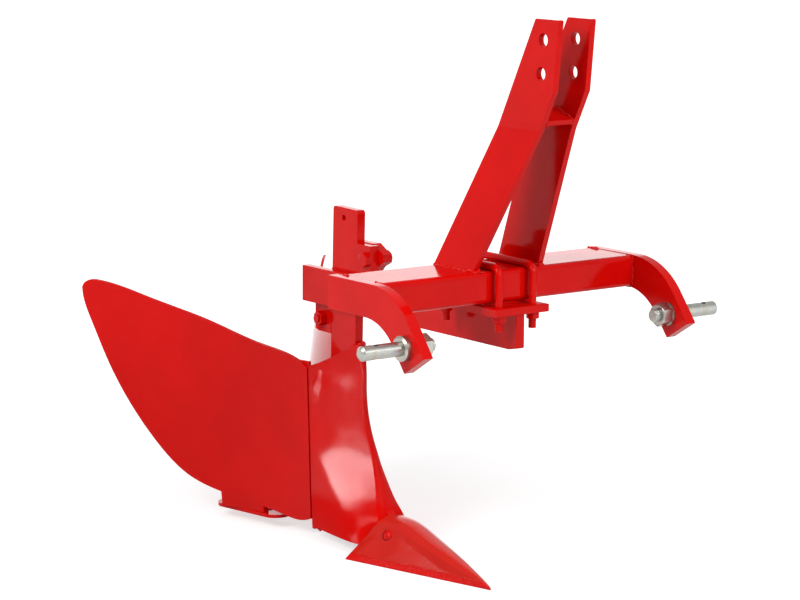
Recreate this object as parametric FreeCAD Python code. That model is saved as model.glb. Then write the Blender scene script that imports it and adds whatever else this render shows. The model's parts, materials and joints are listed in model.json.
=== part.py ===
import FreeCAD, Part
import math
import os

V = FreeCAD.Vector

# Single-body ridger for a three-point hitch, in millimetres.
# Origin: middle of the lower hitch pins' common axis. -Y faces the tractor, +Z is up,
# +X is the left-hand side of travel.

# ---- clearances shared by mating pieces ----
seat_gap = 0.1          # radial play where a bolt or pin passes through a fixed plate
slide_gap = 0.3         # play of the leg between its guides
knuckle_play = 0.05     # radial play of a hinge knuckle on its pin
knuckle_end_gap = 1.0   # axial play between hinge knuckles
knuckle_side_gap = 0.4  # play between the fixed knuckles and the wing's hinge strip
bolt_play = 0.5         # radial play of a bolt in its punched hole

# ---- cross beam (rectangular tube) ----
beam_front_y = 83.0
beam_depth = 110.0
beam_bottom_z = 32.0
beam_height = 50.0
beam_wall = 6.0
beam_corner_r = 8.0
beam_half_length = 248.4

# ---- end brackets: bent arms carrying the lower hitch pins ----
bracket_t = 18.0
bracket_proud = 0.8         # how far the arm stands above and below the tube
bracket_rear_proud = 1.0
bracket_turn = 52.0         # degrees the arm turns down and forward
bracket_outer_r = 125.0
bracket_inner_r = 90.0
bracket_outer_arc_y = 88.0
bracket_inner_arc_y = 100.0
bracket_outer_tip = 56.6    # straight run after the outer arc
bracket_inner_tip = 44.7    # straight run after the inner arc

# ---- lower hitch pins ----
pin_r = 11.0
pin_reach = 69.9            # from the collar to the pin's end
pin_chamfer = 3.5
collar_r = 19.0
collar_t = 11.2
collar_chamfer = 3.0
pin_thread_r = 10.0
pin_thread_length = 32.4    # from the bracket's inner face to the threaded end
pin_nut_af = 33.0
pin_nut_h = 19.4
pin_washer_r = 18.5
pin_washer_t = 3.0
linch_r = 5.75
linch_from_end = 26.5

# ---- mast: two splayed plates for the top link ----
mast_t = 10.0
mast_gap = 52.0
mast_top_z = 471.0
mast_bend_z = 305.0
mast_splay = 0.148          # outward run per unit of drop below the bend
mast_bend_r = 12.0
mast_top_front_y = -62.0
mast_top_rear_y = -8.3
mast_neck_y = -51.5         # where the front edge turns rearward
mast_neck_z = 365.0
mast_foot_front_y = 92.4
mast_foot_rear_y = 190.5
mast_corner_r = 3.0
top_link_r = 10.0
top_link_upper = (-27.0, 440.0)
top_link_lower = (-22.5, 390.0)
spacer_t = 8.0
spacer_front_y = -27.5
spacer_front_z = 320.0
spacer_length = 47.0
spacer_rise = 20.0          # degrees

# ---- draft bar and its clamp under the beam ----
clamp_half_width = 53.0
clamp_t = 12.0
clamp_groove = 4.0          # the draft bar sits this deep in the plate
clamp_front_y = 56.0
clamp_rear_y = 211.0
packing_t = 5.0
packing_half_width = 46.0
packing_margin = 10.0
bar_t = 16.0
bar_height = 61.0
bar_front_y = 60.0
bar_rear_y = 635.0
bar_nose_length = 19.6
bar_nose_height = 4.0
u_bolt_r = 6.0
u_bolt_half_pitch = 33.0
u_bolt_side_gap = 5.0
u_bolt_bend_r = 15.0
u_bolt_tail = 25.5          # thread standing below the clamp plate
m12_r = 6.0
m12_af = 19.0
m12_nut_h = 10.8

# ---- leg and its clamp on the draft bar ----
leg_width = 70.0
leg_t = 16.0
leg_top_z = 126.0
leg_top_y = 532.4
leg_lean = 1.5              # degrees, foot rearward
leg_length = 524.0
leg_corner_r = 6.0
leg_hole_r = 4.5
leg_hole_drop = 17.3
leg_hole_back = 4.2
block_front_y = 461.5
block_top_z = 70.0
rear_block_rear_y = 618.7
rear_block_top_z = -5.0
rear_block_bottom_z = -92.1
rear_block_chamfer = 11.0
cheek_t = 16.0
cheek_nose_y = 447.0
cheek_nose_low_z = 43.6
cheek_nose_high_z = 56.0
cheek_top_z = 71.5
cheek_top_front_y = 475.8
cheek_top_rear_y = 530.0
cheek_heel_y = 583.0
cheek_throat = (462.3, 33.5)
front_bolt_at = (472.0, 46.6)
rear_bolt_at = (595.0, -68.0)
clamp_bolt_r = 7.0
clamp_bolt_af = 22.0
clamp_bolt_head_h = 8.8
clamp_nut_h = 12.8
clamp_bolt_tail = 3.0       # thread standing out of each clamp nut

# ---- breast: plate wrapped round the leg, flaring to the wings ----
plate_t = 6.0
breast_rear_y = 583.0
breast_bottom_z = -423.5
breast_top_front = (486.0, -95.0)
breast_top_rear = (583.0, -145.0)
breast_nose_drop = 4.5
# height, nose y, shoulder (x, y), side control point (x, y)
breast_sections = [
    (-424.5, 388.0, (40.0, 398.0), (54.0, 452.0)),
    (-385.0, 405.0, (28.3, 411.5), (43.0, 470.0)),
    (-360.0, 418.6, (21.5, 423.0), (38.5, 490.0)),
    (-340.0, 428.4, (16.3, 432.6), (36.0, 505.0)),
    (-320.0, 437.0, (12.2, 441.0), (34.0, 520.0)),
    (-300.0, 446.0, (9.1, 450.0), (32.5, 534.0)),
    (-280.0, 454.8, (7.3, 458.5), (31.0, 545.0)),
    (-260.0, 465.0, (6.9, 468.7), (30.0, 552.0)),
    (-240.0, 473.2, (6.5, 476.9), (29.0, 557.0)),
    (-215.0, 480.3, (6.2, 484.0), (28.0, 560.0)),
    (-180.0, 485.0, (6.1, 488.7), (27.0, 563.0)),
    (-135.0, 486.2, (6.0, 490.0), (26.5, 564.0)),
    (-90.0, 486.7, (6.0, 490.5), (26.5, 564.0)),
]

# ---- share: delta point with a rounded back ----
share_drop = 8.0            # vertical thickness of the share
sole_z = -443.0
share_tip_y = 142.5
share_wing_y = 432.0
share_wing_x = 78.0
share_rim = 1.5             # thickness of the ground edge
# y, crest z, shoulder (x, z), fold (x, z)
share_stations = [
    (146.0, -439.5, (0.5, -440.2), (0.7, -441.0)),
    (180.0, -426.5, (7.5, -430.3), (9.3, -437.0)),
    (205.0, -418.1, (11.7, -424.1), (14.2, -434.4)),
    (235.0, -408.7, (16.3, -416.7), (19.3, -429.5)),
    (267.7, -399.0, (19.8, -408.4), (22.9, -421.5)),
    (290.0, -392.8, (21.6, -402.3), (25.0, -415.0)),
    (315.7, -385.2, (23.2, -395.5), (26.8, -407.3)),
    (345.0, -376.2, (25.5, -389.3), (29.6, -399.6)),
    (372.0, -372.3, (26.6, -385.4), (31.4, -396.4)),
    (405.0, -372.6, (26.8, -382.8), (34.6, -400.5)),
    (420.0, -372.8, (27.6, -384.5), (40.5, -410.5)),
    (442.0, -373.0, (29.0, -387.5), (51.5, -422.5)),
]
share_rear = [(0.0, 406.5), (10.0, 407.2), (18.0, 408.4), (24.5, 411.3), (30.5, 416.0),
              (35.0, 421.5), (42.5, 428.0), (49.0, 434.0)]
share_bolt_at = (31.2, 377.0, -396.5)
share_bolt_lean = (0.82, -0.12)   # sideways and forward share of the bolt's axis
share_bolt_head_r = 10.0
share_bolt_head_h = 4.5
share_bolt_r = 5.0
share_bolt_length = 20.0
frog_half_width = 8.0
frog_cross_half = 34.0
frog_front_y = 300.0
frog_cross_y = (365.0, 404.0)
frog_above_foot = 68.0      # rib's height above the leg's foot
frog_above_sole = 19.0      # lower edge's height above the sole

# ---- wings ----
wing_t = 5.0
wing_front_y = 586.0
wing_tip_y = 957.0
wing_ref_z = -110.0
wing_front_x = 50.0
wing_tip_x = 240.7
wing_sagitta = 25.0
wing_front_lean = 0.03      # sideways run per unit of height at the hinge
wing_tip_lean = 0.16
wing_top_points = [(600.4, -140.2), (694.4, -115.8), (782.1, -86.5), (878.5, -53.5), (941.3, -29.4)]
wing_tip_points = [(952.0, -27.1), (960.6, -31.1), (967.3, -42.2)]
wing_tail_points = [(967.4, -65.6), (961.7, -102.4), (946.6, -176.2), (923.0, -249.5),
                    (888.5, -317.3), (840.0, -371.6), (773.9, -396.0), (662.4, -413.1),
                    (611.7, -418.4)]
wing_front_top_z = -149.0
wing_front_bottom_z = -411.5
hinge_strip_t = 4.0
hinge_strip_width = 28.0
hinge_strip_rise = 11.0
hinge_pin_r = 6.0
knuckle_wall = 3.0
hinge_y = 593.0
hinge_levels = (-375.0, -340.0, -205.0, -170.0)
strap_half = 4.0
strap_depth = 6.0           # how far each strap runs along the breast's inner face
strap_reach = 12.5
hinge_head_h = 6.0
hinge_head_r = 9.0
slot_plate_t = 6.0
slot_plate_r = 25.0
slot_plate_top_z = -419.5
slot_plate_ends = ((42.0, 690.0), (62.0, 796.0))
slot_half_width = 6.5
slot_inset = 16.0
gusset_t = 5.0
gusset_cover = 26.0         # the gusset's reach up the wing's back
gusset_front_gap = 5.0      # from the front hole of the slotted plate to the gusset
gusset_rear_gap = 15.0

# ---- places derived from the sizes above ----
beam_rear_y = beam_front_y + beam_depth
beam_top_z = beam_bottom_z + beam_height
bracket_out_x = beam_half_length + bracket_t
clamp_top_z = beam_bottom_z - packing_t
clamp_bottom_z = clamp_top_z - clamp_t
bar_top_z = clamp_bottom_z + clamp_groove
bar_bottom_z = bar_top_z - bar_height
bar_half = bar_t / 2
body_x = bar_half + slide_gap + leg_t / 2     # centre plane of leg, breast, share and wings
leg_tan = math.tan(math.radians(leg_lean))
leg_cos = math.cos(math.radians(leg_lean))
cheek_x = body_x + leg_t / 2 + slide_gap
hinge_tube_r = hinge_pin_r + knuckle_play + knuckle_wall
SIDES = ((1, "left"), (-1, "right"))


# ---- helpers ----
def box(x0, x1, y0, y1, z0, z1):
    return Part.makeBox(x1 - x0, y1 - y0, z1 - z0, V(x0, y0, z0))


def rounded(points, radii):
    """Closed wire through the points, each corner rounded by its own radius."""
    spans = []
    count = len(points)
    for i in range(count):
        p = points[i]
        if radii[i] == 0:
            spans.append((p, None, p))
            continue
        a = (points[i - 1] - p).normalize()
        b = (points[(i + 1) % count] - p).normalize()
        half = a.getAngle(b) / 2
        back = radii[i] / math.tan(half)
        centre = p + (a + b).normalize() * (radii[i] / math.sin(half))
        middle = centre - (a + b).normalize() * radii[i]
        spans.append((p + a * back, middle, p + b * back))
    edges = []
    for i in range(count):
        start, middle, end = spans[i]
        if middle is not None:
            edges.append(Part.Arc(start, middle, end).toShape())
        edges.append(Part.makeLine(end, spans[(i + 1) % count][0]))
    return Part.Wire(edges)


def plate_yz(points, x0, x1, radii=None):
    """Flat plate with the (y, z) outline, between two planes of constant x."""
    corners = [V(x0, y, z) for y, z in points]
    wire = rounded(corners, radii or [0] * len(points))
    return Part.Face(wire).extrude(V(x1 - x0, 0, 0))


def plate_xz(points, y0, y1, radii=None):
    corners = [V(x, y0, z) for x, z in points]
    wire = rounded(corners, radii or [0] * len(points))
    return Part.Face(wire).extrude(V(0, y1 - y0, 0))


def place(shape, at, axis):
    """Moves a shape modelled along +Z from the origin onto a point and axis."""
    moved = shape.copy()
    moved.Placement = FreeCAD.Placement(at, FreeCAD.Rotation(V(0, 0, 1), axis))
    return moved


def rod(at, axis, r, length):
    return Part.makeCylinder(r, length, at, axis)


def hexagon(af, height, turn=0.0):
    """Hexagonal prism along +Z with its upper corners turned off."""
    big = af / math.sqrt(3)
    corners = [
        V(big * math.cos(math.radians(turn + 60 * k)), big * math.sin(math.radians(turn + 60 * k)), 0)
        for k in range(6)
    ]
    prism = Part.Face(rounded(corners, [0] * 6)).extrude(V(0, 0, height))
    drop = (big - af / 2) * 0.6
    cap = Part.makeCone(big, big - 2.2 * drop, drop, V(0, 0, height - drop))
    return prism.common(Part.makeCylinder(big, height - drop).fuse(cap))


def hex_nut(af, height, hole_r, turn=0.0):
    return hexagon(af, height, turn).cut(Part.makeCylinder(hole_r, height))


def mirror_body(shape):
    """Mirror image across the centre plane of the tilling body."""
    return shape.mirror(V(body_x, 0, 0), V(1, 0, 0))


def solid_at(shape, point):
    """The one solid of a shape that holds the point."""
    for solid in shape.Solids:
        if solid.isInside(point, 0.01, True):
            return solid
    return shape.Solids[0]


def leg_y(z, offset):
    """Y of a line parallel to the leaning leg's centre line, offset across its width."""
    return leg_top_y + offset / leg_cos + (leg_top_z - z) * leg_tan


# ---- hitch frame ----
def beam():
    tube = box(-beam_half_length, beam_half_length, beam_front_y, beam_rear_y, beam_bottom_z, beam_top_z)
    tube = tube.makeFillet(beam_corner_r, long_edges(tube))
    bore = box(-beam_half_length, beam_half_length, beam_front_y + beam_wall, beam_rear_y - beam_wall,
               beam_bottom_z + beam_wall, beam_top_z - beam_wall)
    bore = bore.makeFillet(beam_corner_r - beam_wall, long_edges(bore))
    return tube.cut(bore)


def long_edges(shape):
    return [e for e in shape.Edges if abs(e.tangentAt(e.FirstParameter).x) > 0.999]


def bracket_outline(x):
    """Arm outline: level over the beam's end, then bent down and forward to the pin."""
    top = beam_top_z + bracket_proud
    low = beam_bottom_z - bracket_proud
    turn = math.radians(bracket_turn)
    half = turn / 2
    rear = beam_rear_y + bracket_rear_proud
    down = V(0, -math.cos(turn), -math.sin(turn))

    def on_arc(y, z, r, angle):
        return V(x, y - r * math.sin(angle), z + r * math.cos(angle))

    outer_z = top - bracket_outer_r
    inner_z = low - bracket_inner_r
    outer_end = on_arc(bracket_outer_arc_y, outer_z, bracket_outer_r, turn)
    inner_end = on_arc(bracket_inner_arc_y, inner_z, bracket_inner_r, turn)
    tip_outer = outer_end + down * bracket_outer_tip
    tip_inner = inner_end + down * bracket_inner_tip
    outer_start = V(x, bracket_outer_arc_y, top)
    inner_start = V(x, bracket_inner_arc_y, low)
    outer_mid = on_arc(bracket_outer_arc_y, outer_z, bracket_outer_r, half)
    inner_mid = on_arc(bracket_inner_arc_y, inner_z, bracket_inner_r, half)
    return Part.Wire([
        Part.makeLine(V(x, rear, top), outer_start),
        Part.Arc(outer_start, outer_mid, outer_end).toShape(),
        Part.makeLine(outer_end, tip_outer),
        Part.makeLine(tip_outer, tip_inner),
        Part.makeLine(tip_inner, inner_end),
        Part.Arc(inner_end, inner_mid, inner_start).toShape(),
        Part.makeLine(inner_start, V(x, rear, low)),
        Part.makeLine(V(x, rear, low), V(x, rear, top)),
    ])


def bracket(side):
    arm = Part.Face(bracket_outline(side * beam_half_length)).extrude(V(side * bracket_t, 0, 0))
    hole = rod(V(side * beam_half_length, 0, 0), V(side, 0, 0), pin_r + seat_gap, bracket_t)
    return arm.cut(hole)


def hitch_pin(side):
    """Shouldered pin: thread inside the arm, shank, collar, then the free end."""
    x0 = beam_half_length - pin_thread_length
    x1 = beam_half_length
    x2 = bracket_out_x
    x3 = x2 + collar_t
    x4 = x3 + pin_reach
    profile = [
        (x0, 0), (x0, pin_thread_r - 1.5), (x0 + 1.5, pin_thread_r), (x1, pin_thread_r),
        (x1, pin_r), (x2, pin_r), (x2, collar_r), (x3 - collar_chamfer, collar_r),
        (x3, collar_r - collar_chamfer), (x3, pin_r), (x4 - pin_chamfer, pin_r),
        (x4, pin_r - pin_chamfer), (x4, 0),
    ]
    face = Part.Face(rounded([V(x, 0, r) for x, r in profile], [0] * len(profile)))
    turned = face.revolve(V(0, 0, 0), V(1, 0, 0), 360)
    linch = rod(V(x4 - linch_from_end, 0, -collar_r), V(0, 0, 1), linch_r, 2 * collar_r)
    turned = turned.cut(linch)
    return turned if side > 0 else turned.mirror(V(0, 0, 0), V(1, 0, 0))


def pin_washer(side):
    ring = Part.makeCylinder(pin_washer_r, pin_washer_t).cut(
        Part.makeCylinder(pin_thread_r + seat_gap, pin_washer_t))
    return place(ring, V(side * beam_half_length, 0, 0), V(-side, 0, 0))


def pin_nut(side):
    nut = hex_nut(pin_nut_af, pin_nut_h, pin_thread_r + seat_gap)
    return place(nut, V(side * (beam_half_length - pin_washer_t), 0, 0), V(-side, 0, 0))


def mast_band():
    """Front view of the left plate: upright at the top, splayed below the bend."""
    half = math.atan(mast_splay) / 2
    inner_x = mast_gap / 2
    outer_x = inner_x + mast_t
    inner_bend = mast_bend_z - mast_t * math.tan(half)
    slant = mast_t / math.cos(2 * half)
    foot_x = outer_x + mast_splay * (mast_bend_z - beam_top_z)
    points = [
        (inner_x, mast_top_z), (outer_x, mast_top_z), (outer_x, mast_bend_z), (foot_x, beam_top_z),
        (foot_x - slant, beam_top_z), (inner_x, inner_bend),
    ]
    return points, [0, 0, mast_bend_r, 0, 0, mast_bend_r + mast_t]


def mast_side():
    points = [
        (mast_top_rear_y, mast_top_z), (mast_top_front_y, mast_top_z), (mast_neck_y, mast_neck_z),
        (mast_foot_front_y, beam_top_z), (mast_foot_rear_y, beam_top_z),
    ]
    return points, [mast_corner_r, mast_corner_r, 2 * mast_corner_r, 0, 0]


def mast_plate(side):
    band, band_radii = mast_band()
    outline, outline_radii = mast_side()
    reach = band[3][0]
    front = plate_xz(band, mast_top_front_y, mast_foot_rear_y, band_radii)
    plate = front.common(plate_yz(outline, 0, reach, outline_radii))
    for y, z in (top_link_upper, top_link_lower):
        plate = plate.cut(rod(V(0, y, z), V(1, 0, 0), top_link_r, reach))
    return plate if side > 0 else plate.mirror(V(0, 0, 0), V(1, 0, 0))


def mast_spacer():
    """Sloping plate welded between the mast plates above the bend."""
    band = mast_band()[0]
    inner = [band[0], band[5], band[4]]
    foot = band[4]
    gap = inner + [(-x, z) for x, z in reversed(inner)]
    slab = box(-foot[0], foot[0], 0, spacer_length, -spacer_t, 0)
    tilt = FreeCAD.Rotation(V(1, 0, 0), spacer_rise)
    slab.Placement = FreeCAD.Placement(V(0, spacer_front_y, spacer_front_z), tilt)
    return slab.common(plate_xz(gap, mast_top_front_y, mast_foot_rear_y))


def clamp_holes():
    """Centres of the U-bolt legs in plan."""
    front = beam_front_y - u_bolt_side_gap - u_bolt_r
    rear = beam_rear_y + u_bolt_side_gap + u_bolt_r
    return front, rear


def clamp_plate():
    plate = box(-clamp_half_width, clamp_half_width, clamp_front_y, clamp_rear_y, clamp_bottom_z, clamp_top_z)
    for x in (-u_bolt_half_pitch, u_bolt_half_pitch):
        for y in clamp_holes():
            plate = plate.cut(rod(V(x, y, clamp_bottom_z), V(0, 0, 1), u_bolt_r + bolt_play, clamp_t))
    return plate.cut(box(-bar_half, bar_half, bar_front_y, clamp_rear_y, clamp_bottom_z, bar_top_z))


def packing_plate():
    return box(-packing_half_width, packing_half_width, beam_front_y + packing_margin,
               beam_rear_y - packing_margin, clamp_top_z, beam_bottom_z)


def draft_bar():
    points = [
        (bar_front_y, bar_top_z), (bar_rear_y, bar_top_z), (bar_rear_y, bar_bottom_z),
        (bar_front_y + bar_nose_length, bar_bottom_z), (bar_front_y, bar_bottom_z + bar_nose_height),
    ]
    return plate_yz(points, -bar_half, bar_half)


def u_bolt(x):
    front, rear = clamp_holes()
    low = clamp_bottom_z - u_bolt_tail
    top = beam_top_z + u_bolt_r + seat_gap
    bend = u_bolt_bend_r
    cut = bend * (1 - math.sqrt(0.5))
    path = Part.Wire([
        Part.makeLine(V(x, front, low), V(x, front, top - bend)),
        Part.Arc(V(x, front, top - bend), V(x, front + cut, top - cut), V(x, front + bend, top)).toShape(),
        Part.makeLine(V(x, front + bend, top), V(x, rear - bend, top)),
        Part.Arc(V(x, rear - bend, top), V(x, rear - cut, top - cut), V(x, rear, top - bend)).toShape(),
        Part.makeLine(V(x, rear, top - bend), V(x, rear, low)),
    ])
    section = Part.Wire(Part.makeCircle(u_bolt_r, V(x, front, low), V(0, 0, 1)))
    return path.makePipeShell([section], True, True)


def u_bolt_nuts():
    nuts = []
    for x in (-u_bolt_half_pitch, u_bolt_half_pitch):
        for y in clamp_holes():
            nuts.append(place(hex_nut(m12_af, m12_nut_h, u_bolt_r + seat_gap), V(x, y, clamp_bottom_z), V(0, 0, -1)))
    return Part.makeCompound(nuts)


# ---- leg clamp ----
def front_block():
    """Block welded to the bar's side in front of the leg."""
    edge = -leg_width / 2 - slide_gap
    points = [
        (block_front_y, bar_bottom_z), (block_front_y, block_top_z),
        (leg_y(block_top_z, edge), block_top_z), (leg_y(bar_bottom_z, edge), bar_bottom_z),
    ]
    y, z = front_bolt_at
    hole = rod(V(bar_half, y, z), V(1, 0, 0), clamp_bolt_r + bolt_play, cheek_x - bar_half)
    return plate_yz(points, bar_half, cheek_x).cut(hole)


def rear_block():
    edge = leg_width / 2 + slide_gap
    low = rear_block_bottom_z
    points = [
        (leg_y(rear_block_top_z, edge), rear_block_top_z), (rear_block_rear_y, rear_block_top_z),
        (rear_block_rear_y, low + rear_block_chamfer * 0.25),
        (rear_block_rear_y - rear_block_chamfer, low), (leg_y(low, edge), low),
    ]
    y, z = rear_bolt_at
    hole = rod(V(bar_half, y, z), V(1, 0, 0), clamp_bolt_r + bolt_play, cheek_x - bar_half)
    return plate_yz(points, bar_half, cheek_x).cut(hole)


def cheek_plate():
    """Outer cheek that closes the leg's pocket against both blocks."""
    low = rear_block_bottom_z
    points = [
        (cheek_nose_y, cheek_nose_low_z), (cheek_nose_y, cheek_nose_high_z),
        (cheek_top_front_y, cheek_top_z), (cheek_top_rear_y, cheek_top_z),
        (rear_block_rear_y, rear_block_top_z), (rear_block_rear_y, low + rear_block_chamfer * 0.25),
        (rear_block_rear_y - rear_block_chamfer, low), (cheek_heel_y, low), cheek_throat,
    ]
    plate = plate_yz(points, cheek_x, cheek_x + cheek_t)
    for y, z in (front_bolt_at, rear_bolt_at):
        plate = plate.cut(rod(V(cheek_x, y, z), V(1, 0, 0), clamp_bolt_r + bolt_play, cheek_t))
    return plate


def clamp_bolt(at, head_side):
    """Hexagon bolt through a block and the cheek, head on the given side."""
    y, z = at
    faces = {-1: bar_half, 1: cheek_x + cheek_t}
    start = V(faces[head_side], y, z)
    length = faces[1] - faces[-1] + clamp_nut_h + clamp_bolt_tail
    shank = rod(start, V(-head_side, 0, 0), clamp_bolt_r, length)
    head = place(hexagon(clamp_bolt_af, clamp_bolt_head_h), start, V(head_side, 0, 0))
    return shank.fuse(head).removeSplitter()


def clamp_nut(at, side):
    y, z = at
    x = cheek_x + cheek_t if side > 0 else bar_half
    return place(hex_nut(clamp_bolt_af, clamp_nut_h, clamp_bolt_r + seat_gap), V(x, y, z), V(side, 0, 0))


# ---- leg ----
def leg():
    half = leg_width / 2
    corners = [V(-leg_t / 2, -half, 0), V(-leg_t / 2, half, 0), V(-leg_t / 2, half, -leg_length),
               V(-leg_t / 2, -half, -leg_length)]
    bar = Part.Face(rounded(corners, [leg_corner_r, leg_corner_r, 0, 0])).extrude(V(leg_t, 0, 0))
    bar = bar.cut(rod(V(-leg_t, leg_hole_back, -leg_hole_drop), V(1, 0, 0), leg_hole_r, 2 * leg_t))
    bar.Placement = FreeCAD.Placement(V(body_x, leg_top_y, leg_top_z), FreeCAD.Rotation(V(1, 0, 0), leg_lean))
    return bar


# ---- breast ----
def wing_x(z):
    """Distance of the wing's front edge from the body's centre plane at a height."""
    return wing_front_x + wing_front_lean * (z - wing_ref_z)


def inset(p, q, distance):
    """The line p-q moved sideways towards the body's inside."""
    d = (q - p).normalize()
    n = V(-d.y, d.x, 0)
    return p + n * distance, q + n * distance


def meet(a, b, c, d):
    """Where the plan lines a-b and c-d cross."""
    r = b - a
    s = d - c
    t = ((c.x - a.x) * s.y - (c.y - a.y) * s.x) / (r.x * s.y - r.y * s.x)
    return a + r * t


def breast_wire(section):
    z, nose_y, shoulder, control = section
    rear = V(wing_x(z) - 1.0, breast_rear_y, z)
    control = V(control[0], control[1], z)
    shoulder = V(shoulder[0], shoulder[1], z)
    nose = V(0, nose_y, z)
    low_in, mid_a = inset(shoulder, control, plate_t)
    mid_b, rear_in = inset(control, rear, plate_t)
    mid_in = meet(low_in, mid_a, mid_b, rear_in)
    rear_in = meet(mid_b, rear_in, rear, rear + V(1, 0, 0))
    nose_in = nose + V(0, plate_t, 0)

    def flip(p):
        return V(-p.x, p.y, p.z)

    def curve(a, b, c):
        bezier = Part.BezierCurve()
        bezier.setPoles([a, b, b, c])
        return bezier.toShape()

    edges = [
        curve(rear, control, shoulder),
        Part.Arc(shoulder, nose, flip(shoulder)).toShape(),
        curve(flip(shoulder), flip(control), flip(rear)),
        Part.makeLine(flip(rear), flip(rear_in)),
        curve(flip(rear_in), flip(mid_in), flip(low_in)),
        Part.Arc(flip(low_in), nose_in, low_in).toShape(),
        curve(low_in, mid_in, rear_in),
        Part.makeLine(rear_in, rear),
    ]
    wire = Part.Wire(edges)
    wire.translate(V(body_x, 0, 0))
    return wire


def hinge_axis(side, z):
    """Point of a wing hinge's axis at a height."""
    inward = wing_t + hinge_strip_t + hinge_tube_r + knuckle_side_gap
    return V(body_x + side * (wing_x(z) - inward), hinge_y, z)


def hinge_direction(side):
    return V(side * wing_front_lean, 0, 1).normalize()


def hinge_span(side, z0, z1, r):
    start = hinge_axis(side, z0)
    return rod(start, hinge_direction(side), r, (hinge_axis(side, z1) - start).Length)


def fixed_knuckles(side):
    """The two knuckles of a hinge that stand on the breast, with their straps."""
    z0, z1, z2, z3 = hinge_levels
    pieces = []
    edge = breast_rear_y - hinge_y
    for low, high in ((z0, z1), (z2, z3)):
        start = hinge_axis(side, low)
        strap = box(-strap_half, strap_half, edge - strap_depth, 0, 0, high - low)
        strap = strap.fuse(box(-strap_half, strap_reach, edge - strap_depth, edge - 0.5, 0, high - low))
        strap = strap if side > 0 else strap.mirror(V(0, 0, 0), V(1, 0, 0))
        strap = place(strap, start, hinge_direction(side))
        pieces.append(hinge_span(side, low, high, hinge_tube_r).fuse(strap))
    return pieces


def breast_top():
    """Everything above the breast's sloping top edge."""
    y0, z0 = breast_top_front
    y1, z1 = breast_top_rear
    low = z0 - breast_nose_drop
    points = [
        (share_tip_y, low), (y0 - share_drop, low), (y0, z0), (y1, z1),
        (wing_tip_y, z1), (wing_tip_y, beam_bottom_z), (share_tip_y, beam_bottom_z),
    ]
    return plate_yz(points, body_x - wing_tip_x, body_x + wing_tip_x)


def breast(share_block):
    shell = Part.makeLoft([breast_wire(s) for s in breast_sections], True, False)
    shell = shell.cut(breast_top())
    shell = shell.cut(box(-wing_tip_x, wing_tip_x, 0, wing_tip_y, sole_z - leg_width, breast_bottom_z))
    shell = shell.cut(share_block).cut(leg())
    for side, name in SIDES:
        for piece in fixed_knuckles(side):
            shell = shell.fuse(piece)
    for side, name in SIDES:
        shell = shell.cut(hinge_span(side, hinge_levels[0] - 5, hinge_levels[3] + 5, hinge_pin_r + knuckle_play))
    return shell.removeSplitter()


# ---- share ----
def share_edge_x(y):
    return share_wing_x * (y - share_tip_y) / (share_wing_y - share_tip_y)


def share_wire(station, drop):
    """Cross-section of the share's roof, closed well below the sole."""
    y, crest, shoulder, fold = station
    x = share_edge_x(y)
    side = [V(x, y, sole_z - leg_width), V(x, y, sole_z + share_rim - drop),
            V(fold[0], y, fold[1] - drop), V(shoulder[0], y, shoulder[1] - drop)]
    flip = [V(-p.x, p.y, p.z) for p in side]
    edges = [Part.makeLine(p, q) for p, q in zip(side, side[1:])]
    edges.append(Part.Arc(side[-1], V(0, y, crest - drop), flip[-1]).toShape())
    edges += [Part.makeLine(q, p) for p, q in reversed(list(zip(flip, flip[1:])))]
    edges.append(Part.makeLine(flip[0], side[0]))
    return Part.Wire(edges)


def share_roof(drop):
    """Solid under the rounded roof of the share, lowered by a drop."""
    solid = Part.makeLoft([share_wire(s, drop) for s in share_stations], True, False)
    solid.translate(V(body_x, 0, 0))
    return solid


def share_block():
    """Filled share, down to the sole and back to its rear edge."""
    right = [V(x, y, 0) for x, y in share_rear] + [V(share_edge_x(share_wing_y), share_wing_y, 0)]
    left = [V(-p.x, p.y, 0) for p in reversed(right[1:])]
    wide = wing_tip_x
    points = left + right + [V(wide, share_wing_y, 0), V(wide, 0, 0), V(-wide, 0, 0), V(-wide, share_wing_y, 0)]
    plan = Part.Face(Part.makePolygon(points + points[:1]))
    plan.translate(V(body_x, 0, sole_z))
    return share_roof(0).common(plan.extrude(V(0, 0, -sole_z)))


def share():
    plate = share_block().cut(share_roof(share_drop))
    for side, name in SIDES:
        plate = plate.cut(share_bolt_hole(side))
    return solid_at(plate, V(body_x, share_bolt_at[1], share_stations[-1][1] - share_drop / 2))


def share_bolt_axis(side):
    x, y = share_bolt_lean
    return V(side * x, y, math.sqrt(1 - x * x - y * y))


def share_bolt_point(side):
    x, y, z = share_bolt_at
    return V(body_x + side * x, y, z)


def share_bolt_hole(side):
    axis = share_bolt_axis(side)
    start = share_bolt_point(side) - axis * share_bolt_length
    return rod(start, axis, share_bolt_r + seat_gap, share_bolt_length + share_bolt_head_h)


def share_bolts(plate, shell):
    """Two low domed heads with their shanks."""
    bolts = []
    ball = (share_bolt_head_r ** 2 + share_bolt_head_h ** 2) / (2 * share_bolt_head_h)
    for side, name in SIDES:
        axis = share_bolt_axis(side)
        at = share_bolt_point(side)
        dome = Part.makeSphere(ball, V(0, 0, share_bolt_head_h - ball))
        dome = dome.common(Part.makeCylinder(share_bolt_head_r, share_bolt_head_h + share_drop, V(0, 0, -share_drop)))
        shank = rod(at - axis * share_bolt_length, axis, share_bolt_r, share_bolt_length)
        bolt = place(dome, at, axis).fuse(shank).cut(plate).cut(shell)
        bolts.append(solid_at(bolt, at + axis * (share_bolt_head_h / 2)))
    return Part.makeCompound(bolts)


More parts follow.
